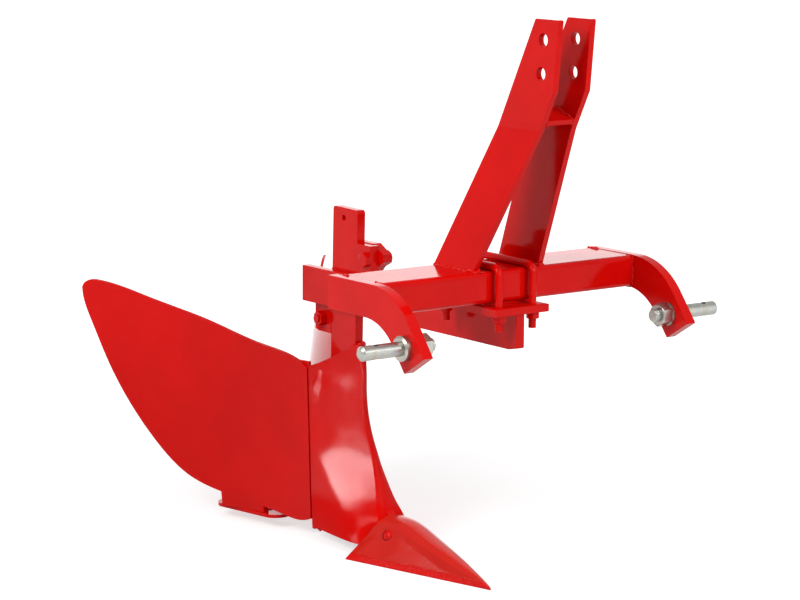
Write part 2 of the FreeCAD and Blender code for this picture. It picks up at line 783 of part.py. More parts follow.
def frog(plate, shell):
    """Rib and cross piece inside the body that join leg, breast and share."""
    foot_z = leg_top_z - leg_length
    top_z = foot_z + frog_above_foot
    low_z = sole_z + frog_above_sole
    wall = plate_t / 2

    def nose(level):
        return min(breast_sections, key=lambda s: abs(s[0] - level))

    points = [(leg_y(top_z, -leg_width / 2), top_z), (leg_y(low_z, -leg_width / 2), low_z)]
    points += [(frog_cross_y[1], low_z), (frog_front_y, low_z)]
    points += [(s[0], s[1] - share_drop / 2) for s in share_stations if frog_front_y < s[0] < share_rear[0][1]]
    points += [(s[1] + wall, s[0]) for s in breast_sections if share_stations[-1][1] - share_drop < s[0] < top_z]
    last = nose(top_z)
    points.append((last[1] + wall, top_z))
    rib = plate_yz(points, body_x - frog_half_width, body_x + frog_half_width)
    cross = box(body_x - frog_cross_half, body_x + frog_cross_half, frog_cross_y[0], frog_cross_y[1],
                low_z, share_stations[-2][3][1])
    body = rib.fuse(cross).cut(leg()).cut(plate).cut(shell)
    for side, name in SIDES:
        body = body.cut(share_bolt_hole(side))
    return solid_at(body, V(body_x, frog_cross_y[0], low_z + share_drop)).removeSplitter()


# ---- wings ----
def wing_curve(z, depth):
    """Plan curve of a wing at a height, moved inward from the outer face by a depth."""
    dx = wing_tip_x - wing_front_x
    dy = wing_tip_y - wing_front_y
    chord = math.hypot(dx, dy)
    along = V(dx / chord, dy / chord, 0)
    across = V(-along.y, along.x, 0)
    radius = (chord ** 2 / 4 + wing_sagitta ** 2) / (2 * wing_sagitta)
    points = []
    for k in range(-1, 8):
        s = chord * k / 6.5
        arm = s - chord / 2
        bulge = math.sqrt(radius ** 2 - arm ** 2) - (radius - wing_sagitta)
        lean = wing_front_lean + (wing_tip_lean - wing_front_lean) * s / chord
        slope = -arm / math.sqrt(radius ** 2 - arm ** 2)
        tangent = (along + across * slope).normalize()
        normal = V(-tangent.y, tangent.x, 0)
        p = V(wing_front_x, wing_front_y, 0) + along * s + across * bulge
        points.append(V(p.x + lean * (z - wing_ref_z), p.y, z) + normal * depth)
    return points


def wing_slab(outer, inner):
    """Leaning, dished slab between two depths behind the wing's outer face."""
    wires = []
    for z in (min(sole_z, slot_plate_top_z - slot_plate_t), beam_bottom_z):
        front = Part.BSplineCurve()
        front.interpolate(wing_curve(z, outer))
        back = Part.BSplineCurve()
        back.interpolate(wing_curve(z, inner))
        a, b = front.StartPoint, front.EndPoint
        c, d = back.StartPoint, back.EndPoint
        wires.append(Part.Wire([front.toShape(), Part.makeLine(b, d), back.toShape(), Part.makeLine(c, a)]))
    slab = Part.makeLoft(wires, True, True)
    slab.translate(V(body_x, 0, 0))
    return slab


def wing_outline():
    """Side outline of a wing as a prism across the body."""
    x = body_x

    def spline(points):
        curve = Part.BSplineCurve()
        curve.interpolate([V(x, y, z) for y, z in points])
        return curve.toShape()

    top = [(wing_front_y, wing_front_top_z)] + wing_top_points + wing_tip_points[:1]
    tail = wing_tip_points[-1:] + wing_tail_points + [(wing_front_y, wing_front_bottom_z)]
    tip = [V(x, y, z) for y, z in wing_tip_points]
    wire = Part.Wire([
        spline(top), Part.Arc(tip[0], tip[1], tip[2]).toShape(), spline(tail),
        Part.makeLine(V(x, wing_front_y, wing_front_bottom_z), V(x, wing_front_y, wing_front_top_z)),
    ])
    return Part.Face(wire).extrude(V(2 * wing_tip_x, 0, 0))


def wing():
    """Left wing with its hinge strip and knuckle."""
    plate = wing_slab(0, wing_t).common(wing_outline())
    strip = wing_slab(wing_t, wing_t + hinge_strip_t).common(
        box(body_x, body_x + wing_tip_x, wing_front_y, wing_front_y + hinge_strip_width,
            wing_front_bottom_z, wing_front_top_z + hinge_strip_rise))
    z0, z1, z2, z3 = hinge_levels
    low = z1 + knuckle_end_gap
    high = z2 - knuckle_end_gap
    web = box(0, hinge_tube_r + hinge_strip_t, -strap_half, strap_half, 0, high - low)
    web = place(web, hinge_axis(1, low), hinge_direction(1)).cut(wing_slab(0, wing_t))
    tube = hinge_span(1, low, high, hinge_tube_r).fuse(web)
    body = plate.fuse(strip).fuse(tube)
    body = body.cut(hinge_span(1, z0 - 5, z3 + 5, hinge_pin_r + knuckle_play))
    return body.removeSplitter()


def hinge_pin(side):
    z0, z1, z2, z3 = hinge_levels
    low = hinge_axis(side, z0 - 4)
    top = hinge_axis(side, z3)
    axis = hinge_direction(side)
    pin = rod(low, axis, hinge_pin_r, (top - low).Length)
    return pin.fuse(rod(top, axis, hinge_head_r, hinge_head_h)).removeSplitter()


def stadium(a, b, r, z, t):
    """Flat plate with two round ends."""
    a = V(body_x + a[0], a[1], z)
    b = V(body_x + b[0], b[1], z)
    d = (b - a).normalize()
    n = V(-d.y, d.x, 0)
    wire = Part.Wire([
        Part.makeLine(a + n * r, b + n * r), Part.Arc(b + n * r, b + d * r, b - n * r).toShape(),
        Part.makeLine(b - n * r, a - n * r), Part.Arc(a - n * r, a - d * r, a + n * r).toShape(),
    ])
    return Part.Face(wire).extrude(V(0, 0, -t))


def slot_plate(plate):
    """Slotted plate under the left wing, with the gusset that carries it."""
    a, b = slot_plate_ends
    base = stadium(a, b, slot_plate_r, slot_plate_top_z, slot_plate_t)
    length = math.hypot(b[0] - a[0], b[1] - a[1])
    inward = slot_inset / length
    c = (a[0] + (b[0] - a[0]) * inward, a[1] + (b[1] - a[1]) * inward)
    d = (b[0] - (b[0] - a[0]) * inward, b[1] - (b[1] - a[1]) * inward)
    base = base.cut(stadium(c, d, slot_half_width, slot_plate_top_z, slot_plate_t))
    rib = wing_slab(0, wing_t + gusset_t).common(
        box(body_x, body_x + wing_tip_x, a[1] + gusset_front_gap, b[1] - gusset_rear_gap,
            slot_plate_top_z, max(wing_front_bottom_z, slot_plate_top_z) + gusset_cover))
    rib = rib.cut(plate)
    keep = sorted(rib.Solids, key=lambda s: s.Volume)[-1]
    return base.fuse(keep).removeSplitter()


def export(name, shape):
    shape.exportStep("parts/" + name + ".step")


def main():
    os.makedirs("parts", exist_ok=True)
    plate = share()
    shell = breast(share_block())
    left_wing = wing()
    left_slot = slot_plate(left_wing)
    export("beam", beam())
    for side, name in SIDES:
        export(name + "_bracket", bracket(side))
        export(name + "_hitch_pin", hitch_pin(side))
        export(name + "_pin_washer", pin_washer(side))
        export(name + "_pin_nut", pin_nut(side))
        export(name + "_mast_plate", mast_plate(side))
        export(name + "_u_bolt", u_bolt(side * u_bolt_half_pitch))
        export(name + "_hinge_pin", hinge_pin(side))
        export(name + "_wing", left_wing if side > 0 else mirror_body(left_wing))
        export(name + "_slot_plate", left_slot if side > 0 else mirror_body(left_slot))
    export("mast_spacer", mast_spacer())
    export("clamp_plate", clamp_plate())
    export("packing_plate", packing_plate())
    export("draft_bar", draft_bar())
    export("u_bolt_nuts", u_bolt_nuts())
    export("front_block", front_block())
    export("rear_block", rear_block())
    export("cheek_plate", cheek_plate())
    export("front_clamp_bolt", clamp_bolt(front_bolt_at, -1))
    export("rear_clamp_bolt", clamp_bolt(rear_bolt_at, 1))
    export("clamp_nuts", Part.makeCompound([clamp_nut(front_bolt_at, 1), clamp_nut(rear_bolt_at, -1)]))
    export("leg", leg())
    export("breast", shell)
    export("share", plate)
    export("share_bolts", share_bolts(plate, shell))
    export("frog", frog(plate, shell))


main()
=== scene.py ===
import json
import math
import bpy
from mathutils import Matrix, Quaternion, Vector

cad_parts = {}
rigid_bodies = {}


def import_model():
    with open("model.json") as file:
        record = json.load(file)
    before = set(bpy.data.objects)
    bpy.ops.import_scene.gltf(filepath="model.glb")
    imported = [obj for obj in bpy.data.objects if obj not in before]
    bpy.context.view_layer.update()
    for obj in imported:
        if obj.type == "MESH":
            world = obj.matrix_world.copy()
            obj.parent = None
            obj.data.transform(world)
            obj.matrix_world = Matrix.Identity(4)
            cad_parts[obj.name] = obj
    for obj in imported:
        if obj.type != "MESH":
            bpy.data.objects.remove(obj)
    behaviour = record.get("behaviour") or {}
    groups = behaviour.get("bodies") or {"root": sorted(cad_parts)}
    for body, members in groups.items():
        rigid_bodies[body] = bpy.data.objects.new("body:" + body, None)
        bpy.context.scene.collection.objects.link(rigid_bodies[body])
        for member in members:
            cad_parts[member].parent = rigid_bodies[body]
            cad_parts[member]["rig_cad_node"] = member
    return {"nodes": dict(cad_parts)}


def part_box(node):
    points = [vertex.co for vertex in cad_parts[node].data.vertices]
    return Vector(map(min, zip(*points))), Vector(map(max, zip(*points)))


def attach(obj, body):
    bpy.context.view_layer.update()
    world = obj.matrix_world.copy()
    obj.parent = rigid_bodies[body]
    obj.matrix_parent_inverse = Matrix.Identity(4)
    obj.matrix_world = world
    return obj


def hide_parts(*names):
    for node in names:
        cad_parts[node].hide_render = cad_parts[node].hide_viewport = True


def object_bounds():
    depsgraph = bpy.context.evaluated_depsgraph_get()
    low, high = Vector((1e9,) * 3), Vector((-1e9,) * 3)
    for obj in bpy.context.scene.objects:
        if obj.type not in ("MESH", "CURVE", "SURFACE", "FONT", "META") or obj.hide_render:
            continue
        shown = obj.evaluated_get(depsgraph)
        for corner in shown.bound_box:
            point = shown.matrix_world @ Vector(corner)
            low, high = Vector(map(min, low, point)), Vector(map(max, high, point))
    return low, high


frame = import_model()
cad_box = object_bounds()

HITCH, TILL = "hitch_frame", "tilling_body"
SIDES = (("left", 1), ("right", -1))


# ---- working tools ----
def only(*things):
    bpy.ops.object.select_all(action="DESELECT")
    for thing in things:
        thing.select_set(True)
    bpy.context.view_layer.objects.active = things[0]


def apply_modifier(piece, kind, **settings):
    only(piece)
    modifier = piece.modifiers.new(kind.lower(), kind)
    for name, value in settings.items():
        setattr(modifier, name, value)
    bpy.ops.object.modifier_apply(modifier=modifier.name)


def settle(piece):
    """Puts the piece's place into its mesh."""
    only(piece)
    bpy.ops.object.transform_apply(location=True, rotation=True, scale=True)


def dress(piece, material, body):
    piece.data.materials.clear()
    piece.data.materials.append(material)
    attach(piece, body)
    return piece


# ---- finishes ----
def new_material(name):
    material = bpy.data.materials.new(name)
    material.use_nodes = True
    nodes = material.node_tree.nodes
    nodes.clear()
    out = nodes.new("ShaderNodeOutputMaterial")
    shader = nodes.new("ShaderNodeBsdfPrincipled")
    material.node_tree.links.new(shader.outputs["BSDF"], out.inputs["Surface"])
    return material, shader


def noise(material, scale, detail=3.0, stretch=(1, 1, 1)):
    nodes, links = material.node_tree.nodes, material.node_tree.links
    place = nodes.new("ShaderNodeTexCoord")
    mapping = nodes.new("ShaderNodeMapping")
    mapping.inputs["Scale"].default_value = stretch
    texture = nodes.new("ShaderNodeTexNoise")
    texture.inputs["Scale"].default_value = scale
    texture.inputs["Detail"].default_value = detail
    links.new(place.outputs["Object"], mapping.inputs["Vector"])
    links.new(mapping.outputs["Vector"], texture.inputs["Vector"])
    return texture.outputs["Fac"]


def ramp(material, source, stops):
    nodes, links = material.node_tree.nodes, material.node_tree.links
    node = nodes.new("ShaderNodeValToRGB")
    bar = node.color_ramp
    while len(bar.elements) < len(stops):
        bar.elements.new(0.5)
    for element, (at, colour) in zip(bar.elements, stops):
        element.position = at
        element.color = colour if len(colour) == 4 else (*colour, 1)
    links.new(source, node.inputs["Fac"])
    return node.outputs["Color"]


def grey(value):
    return (value, value, value)


def height_of(material):
    """Height of each point of a surface."""
    nodes, links = material.node_tree.nodes, material.node_tree.links
    place = nodes.new("ShaderNodeTexCoord")
    parts = nodes.new("ShaderNodeSeparateXYZ")
    links.new(place.outputs["Object"], parts.inputs["Vector"])
    return parts.outputs["Z"]


def shader_of(material):
    return next(node for node in material.node_tree.nodes if node.type == "BSDF_PRINCIPLED")


def bump(material, shader, layers):
    """Stacks bump layers: (noise output, strength, height in metres)."""
    nodes, links = material.node_tree.nodes, material.node_tree.links
    last = None
    for source, strength, height in layers:
        node = nodes.new("ShaderNodeBump")
        node.inputs["Strength"].default_value = strength
        node.inputs["Distance"].default_value = height
        links.new(source, node.inputs["Height"])
        if last is not None:
            links.new(last, node.inputs["Normal"])
        last = node.outputs["Normal"]
    links.new(last, shader.inputs["Normal"])


PAINT_SHEEN = 0.12


def paint(name, light=(0.68, 0.0030, 0.0016), dark=(0.60, 0.0022, 0.0012), gloss=0.09, rough=0.16,
          peel=0.10, wave=0.0, pits=0.0):
    """Red paint: its colour and gloss drift, and it has orange peel, slow waves or pits."""
    material, shader = new_material(name)
    links = material.node_tree.links
    colour = ramp(material, noise(material, 9, 4), [(0.35, dark), (0.65, light)])
    links.new(colour, shader.inputs["Base Color"])
    roughness = ramp(material, noise(material, 38, 4), [(0.35, grey(gloss)), (0.7, grey(rough))])
    links.new(roughness, shader.inputs["Roughness"])
    shader.inputs["IOR"].default_value = 1.45
    shader.inputs["Specular IOR Level"].default_value = PAINT_SHEEN
    layers = [(noise(material, 420, 2), peel, 0.0004)]
    if wave:
        layers.append((noise(material, 9, 1), wave, 0.006))
    if pits:
        layers.append((noise(material, 130, 4), pits, 0.0012))
    bump(material, shader, layers)
    return material


RED = paint("red_gloss_paint")
RED_SHEET = paint("red_paint_on_bent_sheet", wave=0.07)
# painted shade: this darker red colours the ring round each share bolt's head, standing for the shadow in
# the gap there
RED_PAINTED_SHADE_RING = paint("red_paint_as_painted_shade_ring", light=(0.30, 0.0012, 0.0010), dark=(0.24, 0.0010, 0.0008),
                   gloss=0.3, rough=0.4)
RED_WELD = paint("red_paint_on_weld", gloss=0.10, rough=0.2, peel=0.3, pits=0.2)


BREAST_SHEEN_ABOVE, BREAST_SHEEN_BELOW = 0.16, 0.02


def dulled_paint(name, low, high):
    """Sheet paint that loses its gloss between two heights, towards the ground."""
    material = paint(name, wave=0.07)
    nodes, links = material.node_tree.nodes, material.node_tree.links
    shader = shader_of(material)
    span = nodes.new("ShaderNodeMapRange")
    span.interpolation_type = "SMOOTHSTEP"
    span.inputs["From Min"].default_value = high
    span.inputs["From Max"].default_value = low
    links.new(height_of(material), span.inputs["Value"])
    sheen = nodes.new("ShaderNodeMapRange")
    sheen.inputs["To Min"].default_value = BREAST_SHEEN_ABOVE
    sheen.inputs["To Max"].default_value = BREAST_SHEEN_BELOW
    links.new(span.outputs["Result"], sheen.inputs["Value"])
    links.new(sheen.outputs["Result"], shader.inputs["Specular IOR Level"])
    return material


RAGGED_EDGE = 0.012


def trowelled_paint(name, low, high):
    """Paint that turns thick and ragged between two heights, near the ground edge."""
    material = paint(name, light=(0.60, 0.018, 0.010), dark=(0.56, 0.013, 0.008), gloss=0.15, rough=0.26,
                     peel=0.15, pits=0.18)
    nodes, links = material.node_tree.nodes, material.node_tree.links
    shader = shader_of(material)
    ragged = nodes.new("ShaderNodeMath")
    ragged.operation = "MULTIPLY_ADD"
    ragged.inputs[1].default_value = RAGGED_EDGE
    links.new(noise(material, 240, 3), ragged.inputs[0])
    links.new(height_of(material), ragged.inputs[2])
    span = nodes.new("ShaderNodeMapRange")
    span.inputs["From Min"].default_value = high + RAGGED_EDGE / 2
    span.inputs["From Max"].default_value = low + RAGGED_EDGE / 2
    links.new(ragged.outputs[0], span.inputs["Value"])
    mix = nodes.new("ShaderNodeMix")
    mix.data_type = "RGBA"
    base = shader.inputs["Base Color"].links[0].from_socket
    links.new(span.outputs["Result"], mix.inputs["Factor"])
    links.new(base, mix.inputs["A"])
    mix.inputs["B"].default_value = (0.66, 0.0035, 0.002, 1)
    links.new(mix.outputs["Result"], shader.inputs["Base Color"])
    crust = nodes.new("ShaderNodeMath")
    crust.operation = "MULTIPLY"
    links.new(noise(material, 330, 2), crust.inputs[0])
    links.new(span.outputs["Result"], crust.inputs[1])
    relief = nodes.new("ShaderNodeBump")
    relief.inputs["Strength"].default_value = 0.9
    relief.inputs["Distance"].default_value = 0.002
    links.new(crust.outputs[0], relief.inputs["Height"])
    links.new(shader.inputs["Normal"].links[0].from_socket, relief.inputs["Normal"])
    links.new(relief.outputs["Normal"], shader.inputs["Normal"])
    return material


def zinc():
    material, shader = new_material("bright_zinc")
    links = material.node_tree.links
    spangle = [(0.3, (0.34, 0.33, 0.29)), (0.5, (0.41, 0.40, 0.36)), (0.7, (0.35, 0.37, 0.37))]
    links.new(ramp(material, noise(material, 60, 3), spangle), shader.inputs["Base Color"])
    turned = ramp(material, noise(material, 300, 3, (1, 6, 6)), [(0.3, grey(0.22)), (0.7, grey(0.38))])
    links.new(turned, shader.inputs["Roughness"])
    shader.inputs["Metallic"].default_value = 1.0
    bump(material, shader, [(noise(material, 900, 2, (1, 5, 5)), 0.15, 0.0002)])
    return material


ZINC = zinc()
share_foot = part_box("share")[0].z
DULL_BELOW, GLOSSY_ABOVE = 0.066, 0.092
THICK_BELOW, THIN_ABOVE = 0.0085, 0.0115
RED_BREAST = dulled_paint("red_paint_on_breast", share_foot + DULL_BELOW, share_foot + GLOSSY_ABOVE)
RED_SHARE = trowelled_paint("red_paint_on_share", share_foot + THICK_BELOW, share_foot + THIN_ABOVE)


# ---- plates and bars with their painted edges ----
def finished_copy(node, edge, flat=0.6, crease=28.0, segments=2):
    """Copy of a CAD node with its edges softened, standing for the node."""
    only(frame["nodes"][node])
    bpy.ops.object.duplicate()
    piece = bpy.context.object
    piece.name = node + "_finished"
    del piece["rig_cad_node"]
    bpy.ops.mesh.customdata_custom_splitnormals_clear()
    bpy.ops.object.mode_set(mode="EDIT")
    bpy.ops.mesh.select_all(action="SELECT")
    bpy.ops.mesh.remove_doubles(threshold=0.00001)
    bpy.ops.mesh.dissolve_limited(angle_limit=math.radians(flat))
    bpy.ops.object.mode_set(mode="OBJECT")
    if edge:
        apply_modifier(piece, "BEVEL", width=edge, segments=segments, limit_method="ANGLE",
                       angle_limit=math.radians(crease), miter_outer="MITER_ARC", use_clamp_overlap=True)
    only(piece)
    bpy.ops.object.shade_smooth_by_angle(angle=math.radians(40))
    apply_modifier(piece, "WEIGHTED_NORMAL", keep_sharp=True, weight=80)
    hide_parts(node)
    return piece


EDGES = {
    "beam": 0.0, "mast_spacer": 0.0008, "clamp_plate": 0.0010, "packing_plate": 0.0006, "draft_bar": 0.0012,
    "front_block": 0.0010, "rear_block": 0.0010, "cheek_plate": 0.0010, "leg": 0.0012,
    "left_mast_plate": 0.0009, "right_mast_plate": 0.0009, "left_bracket": 0.0009, "right_bracket": 0.0009,
}
for node, edge in EDGES.items():
    body = TILL if node == "leg" else HITCH
    dress(finished_copy(node, edge), RED, body)
dress(finished_copy("breast", 0.0020, flat=0.05, crease=24, segments=3), RED_BREAST, TILL)
dress(finished_copy("share", 0.0009, flat=0.05, crease=20), RED_SHARE, TILL)

COATS = {
    RED: ("u_bolt_nuts", "left_u_bolt", "right_u_bolt", "front_clamp_bolt", "rear_clamp_bolt", "clamp_nuts",
          "left_slot_plate", "right_slot_plate", "share_bolts", "frog", "left_hinge_pin", "right_hinge_pin"),
    RED_SHEET: ("left_wing", "right_wing"),
    ZINC: ("left_hitch_pin", "right_hitch_pin", "left_pin_washer", "right_pin_washer", "left_pin_nut",
           "right_pin_nut"),
}
for material, coated in COATS.items():
    for node in coated:
        thing = frame["nodes"][node]
        thing.data.materials.clear()
        thing.data.materials.append(material)


# ---- weld beads: overlapping lumps melted into one skin ----
def scatter(index, seed):
    """Repeatable number between -1 and 1."""
    return math.modf(math.sin(index * 12.9898 + seed * 78.233) * 43758.5453)[0]


def walk(corners, pitch):
    """Points at an even pitch along a path of corners, with the way the path runs at each."""
    stops = []
    for start, end in zip(corners, corners[1:]):
        start, end = Vector(start), Vector(end)
        count = max(1, round((end - start).length / pitch))
        for k in range(count):
            stops.append((start.lerp(end, k / count), (end - start).normalized()))
    stops.append((Vector(corners[-1]), stops[-1][1]))
    return stops


LUMP_LENGTH, LUMP_DRIFT, LUMP_VOXEL = 0.62, 0.18, 0.24


def weld(name, body, corners, radius=0.0028, pitch=0.0030, wander=0.16, seed=1):
    """Bead along a path: one lump every pitch, each a little off the line by its wander."""
    bpy.ops.mesh.primitive_uv_sphere_add(segments=12, ring_count=8, radius=radius, location=(0, 0, 0))
    lump = bpy.context.object
    lumps = []
    for index, (point, along) in enumerate(walk(corners, pitch)):
        piece = lump.copy()
        piece.data = lump.data.copy()
        bpy.context.scene.collection.objects.link(piece)
        shift = Vector([scatter(index * 3 + axis, seed) for axis in range(3)]) * radius * wander
        size = 1 + LUMP_DRIFT * scatter(index + 50, seed)
        piece.rotation_mode = "QUATERNION"
        piece.rotation_quaternion = along.to_track_quat("X", "Z")
        piece.scale = (LUMP_LENGTH * size, size, size)
        piece.location = point + shift
        lumps.append(piece)
    only(*lumps)
    bpy.ops.object.join()
    bead = bpy.context.object
    bead.name = name
    bpy.data.objects.remove(lump)
    settle(bead)
    apply_modifier(bead, "REMESH", mode="VOXEL", voxel_size=radius * LUMP_VOXEL)
    apply_modifier(bead, "SMOOTH", factor=0.5, iterations=1)
    only(bead)
    bpy.ops.object.shade_smooth()
    return dress(bead, RED_WELD, body)


def foot_print(node, height):
    """Low and high corner of the part of a CAD node that stands at one height."""
    piece = frame["nodes"][node]
    corners = [piece.matrix_world @ vertex.co for vertex in piece.data.vertices]
    corners = [corner for corner in corners if abs(corner.z - height) < 0.0003]
    return [Vector([pick(corner[axis] for corner in corners) for axis in range(3)]) for pick in (min, max)]


beam_low, beam_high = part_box("beam")
leg_low, leg_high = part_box("leg")
body_x = (leg_low.x + leg_high.x) / 2
for side, sign in SIDES:
    foot_low, foot_high = foot_print(side + "_mast_plate", beam_high.z)
    foot_out, foot_in = (foot_high.x, foot_low.x) if sign > 0 else (foot_low.x, foot_high.x)
    front, rear, top = foot_low.y, foot_high.y - 0.004, beam_high.z
    weld(side + "_mast_foot_weld", HITCH,
         [(foot_out, rear, top), (foot_out, front, top), (foot_in, front - 0.001, top), (foot_in, rear, top),
          (foot_out, rear + 0.001, top)], radius=0.0030, seed=2 + sign)
    weld(side + "_mast_toe_weld", HITCH,
         [(foot_out + sign * 0.001, front + 0.016, top), (foot_out - sign * 0.002, front - 0.002, top),
          (foot_in, front - 0.003, top)], radius=0.0040, pitch=0.0046, wander=0.5, seed=7 + sign)
    seam = sign * (beam_high.x - 0.0012)
    weld(side + "_bracket_front_weld", HITCH,
         [(seam, beam_low.y, beam_low.z + 0.003), (seam, beam_low.y, beam_high.z - 0.003)],
         radius=0.0024, pitch=0.0028, seed=11 + sign)
    weld(side + "_bracket_under_weld", HITCH,
         [(seam, beam_low.y + 0.004, beam_low.z), (seam, beam_high.y - 0.004, beam_low.z),
          (seam, beam_high.y, beam_low.z + 0.004), (seam, beam_high.y, beam_high.z - 0.004)],
         radius=0.0022, pitch=0.0030, seed=15 + sign)
    weld(side + "_bracket_front_tack", HITCH,
         [(seam, beam_low.y + 0.001, beam_high.z - 0.0016),
          (seam, beam_low.y + 0.015, beam_high.z - 0.0002)],
         radius=0.0030, pitch=0.0036, wander=0.3, seed=19 + sign)
    weld(side + "_bracket_rear_tack", HITCH,
         [(seam, beam_high.y - 0.024, beam_high.z - 0.0002),
          (seam, beam_high.y - 0.002, beam_high.z - 0.0012)],
         radius=0.0032, pitch=0.0038, wander=0.3, seed=23 + sign)

spacer_low, spacer_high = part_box("mast_spacer")
SPACER_RISE = math.radians(20)
tread = Vector((0, math.cos(SPACER_RISE), math.sin(SPACER_RISE)))
lift = Vector((0, -math.sin(SPACER_RISE), math.cos(SPACER_RISE)))
nose = Vector((0, spacer_low.y, spacer_low.z)) + lift * 0.008 + Vector((0, 0.0027, 0))
for side, sign in SIDES:
    end = sign * (spacer_high.x - 0.001)
    start = Vector((end, nose.y, nose.z))
    weld(side + "_spacer_top_weld", HITCH, [start + tread * 0.001, start + tread * 0.044],
         radius=0.0033, pitch=0.0036, wander=0.22, seed=31 + sign)
    weld(side + "_spacer_end_weld", HITCH, [start + lift * -0.0005, start + lift * -0.0085],
         radius=0.0020, pitch=0.0024, seed=35 + sign)

# welds of the tilling body, placed by y and z, the heels also by how far out they are
NOSE_SIDE, NOSE_TIP = (0.5020, -0.1020), (0.4985, -0.1010)
SEAM_TOP, SEAM_FOOT = (0.5030, -0.1010), (0.5180, -0.1110)
HEEL_FRONT, HEEL_REAR = (0.0385, 0.5600, -0.4238), (0.0382, 0.5800, -0.4240)
weld("nose_to_leg_weld", TILL,
     [(leg_low.x + 0.001, *NOSE_SIDE), (body_x - 0.002, *NOSE_TIP), (leg_high.x - 0.001, *NOSE_SIDE)],
     radius=0.0055, pitch=0.0045, wander=0.22, seed=41)
weld("breast_to_leg_weld", TILL,
     [(leg_low.x - 0.0005, *SEAM_TOP), (leg_low.x - 0.0005, *SEAM_FOOT)],
     radius=0.0035, pitch=0.0035, seed=43)
for side, sign in SIDES:
    weld(side + "_heel_weld", TILL,
         [(body_x + sign * out, y, z) for out, y, z in (HEEL_FRONT, HEEL_REAR)],
         radius=0.0032, pitch=0.0044, wander=0.45, seed=47 + sign)
block_low, block_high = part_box("front_block")
bar_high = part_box("draft_bar")[1]
weld("front_block_weld", HITCH,
     [(bar_high.x - 0.0005, block_low.y + 0.003, bar_high.z),
      (bar_high.x - 0.0005, block_high.y - 0.002, bar_high.z)],
     radius=0.0034, pitch=0.0038, wander=0.25, seed=53)


# ---- painted shade: a dark red ring round each share bolt's head, standing for the shadow in the gap round the head ----
HEAD_SIDEWAYS, HEAD_FORWARD = 0.82, -0.12
head_lean = Vector((HEAD_SIDEWAYS, HEAD_FORWARD, math.sqrt(1 - HEAD_SIDEWAYS ** 2 - HEAD_FORWARD ** 2)))
HEAD_OUT, HEAD_Y, HEAD_Z = 0.0312, 0.377, -0.3965
SHADE_RING_RADIUS, SHADE_RING_WIDTH = 0.0104, 0.0018
for side, sign in SIDES:
    axis = Vector((sign * head_lean.x, head_lean.y, head_lean.z))
    bpy.ops.mesh.primitive_torus_add(major_radius=SHADE_RING_RADIUS, minor_radius=SHADE_RING_WIDTH / 2,
                                     major_segments=48, minor_segments=8, location=(0, 0, 0))
    shade_ring = bpy.context.object
    shade_ring.name = side + "_share_bolt_painted_shade_ring"
    shade_ring.rotation_mode = "QUATERNION"
    shade_ring.rotation_quaternion = axis.to_track_quat("Z", "Y")
    shade_ring.location = Vector((body_x + sign * HEAD_OUT, HEAD_Y, HEAD_Z)) + axis * 0.0004
    settle(shade_ring)
    bpy.ops.object.shade_smooth()
    dress(shade_ring, RED_PAINTED_SHADE_RING, TILL)


# ---- threads ----
def thread(name, body, start, end, radius, pitch, material=RED):
    """Ridges of a thread between two points on a rod's axis."""
    start, end = Vector(start), Vector(end)
    along = (end - start).normalized()
    bpy.ops.mesh.primitive_torus_add(major_radius=radius - pitch * 0.12, minor_radius=pitch * 0.30,
                                     major_segments=28, minor_segments=6, location=(0, 0, 0))
    ridge = bpy.context.object
    ridges = []
    for k in range(int((end - start).length / pitch)):
        piece = ridge.copy()
        piece.data = ridge.data.copy()
        bpy.context.scene.collection.objects.link(piece)
        piece.rotation_mode = "QUATERNION"
        piece.rotation_quaternion = along.to_track_quat("Z", "Y")
        piece.location = start + along * pitch * (k + 0.5)
        ridges.append(piece)
    bpy.data.objects.remove(ridge)
    only(*ridges)
    bpy.ops.object.join()
    made = bpy.context.object
    made.name = name
    settle(made)
    bpy.ops.object.shade_smooth()
    return dress(made, material, body)


U_BOLT_PITCH = 0.00175
PIN_THREAD_RADIUS, PIN_THREAD_PITCH = 0.010, 0.0025
for side, sign in SIDES:
    rod_low, rod_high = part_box(side + "_u_bolt")
    radius = (rod_high.x - rod_low.x) / 2
    middle = (rod_high.x + rod_low.x) / 2
    for place, y in (("front", rod_low.y + radius), ("rear", rod_high.y - radius)):
        thread(f"{side}_u_bolt_{place}_thread", HITCH, (middle, y, rod_low.z + 0.001),
               (middle, y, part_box("u_bolt_nuts")[0].z), radius, U_BOLT_PITCH)
    pin_low, pin_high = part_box(side + "_hitch_pin")
    nut_low, nut_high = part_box(side + "_pin_nut")
    inner_end = pin_low.x if sign > 0 else pin_high.x
    nut_face = nut_low.x if sign > 0 else nut_high.x
    axis_y, axis_z = (pin_low.y + pin_high.y) / 2, (pin_low.z + pin_high.z) / 2
    thread(side + "_pin_thread", HITCH, (inner_end + sign * 0.0008, axis_y, axis_z),
           (nut_face, axis_y, axis_z), PIN_THREAD_RADIUS, PIN_THREAD_PITCH, ZINC)


# ---- room: floor, light, camera ----
def background_rays(nodes, links, kinds):
    """1 for the rays that see the pale background: those of the camera and of the kinds given."""
    rays = nodes.new("ShaderNodeLightPath")
    seen = rays.outputs["Is Camera Ray"]
    for kind in kinds:
        either = nodes.new("ShaderNodeMath")
        either.operation = "MAXIMUM"
        links.new(seen, either.inputs[0])
        links.new(rays.outputs[kind], either.inputs[1])
        seen = either.outputs[0]
    return seen


FLOOR_GREY, FLOOR_DROP = 0.60, 0.0005
GLOW_NEAR, GLOW_FAR = 0.62, 1.0
FADE_FROM, FADE_TO = 0.5, 2.5
LIGHT_ON_OBJECT, WHITE_BACKGROUND = 0.50, 1.0


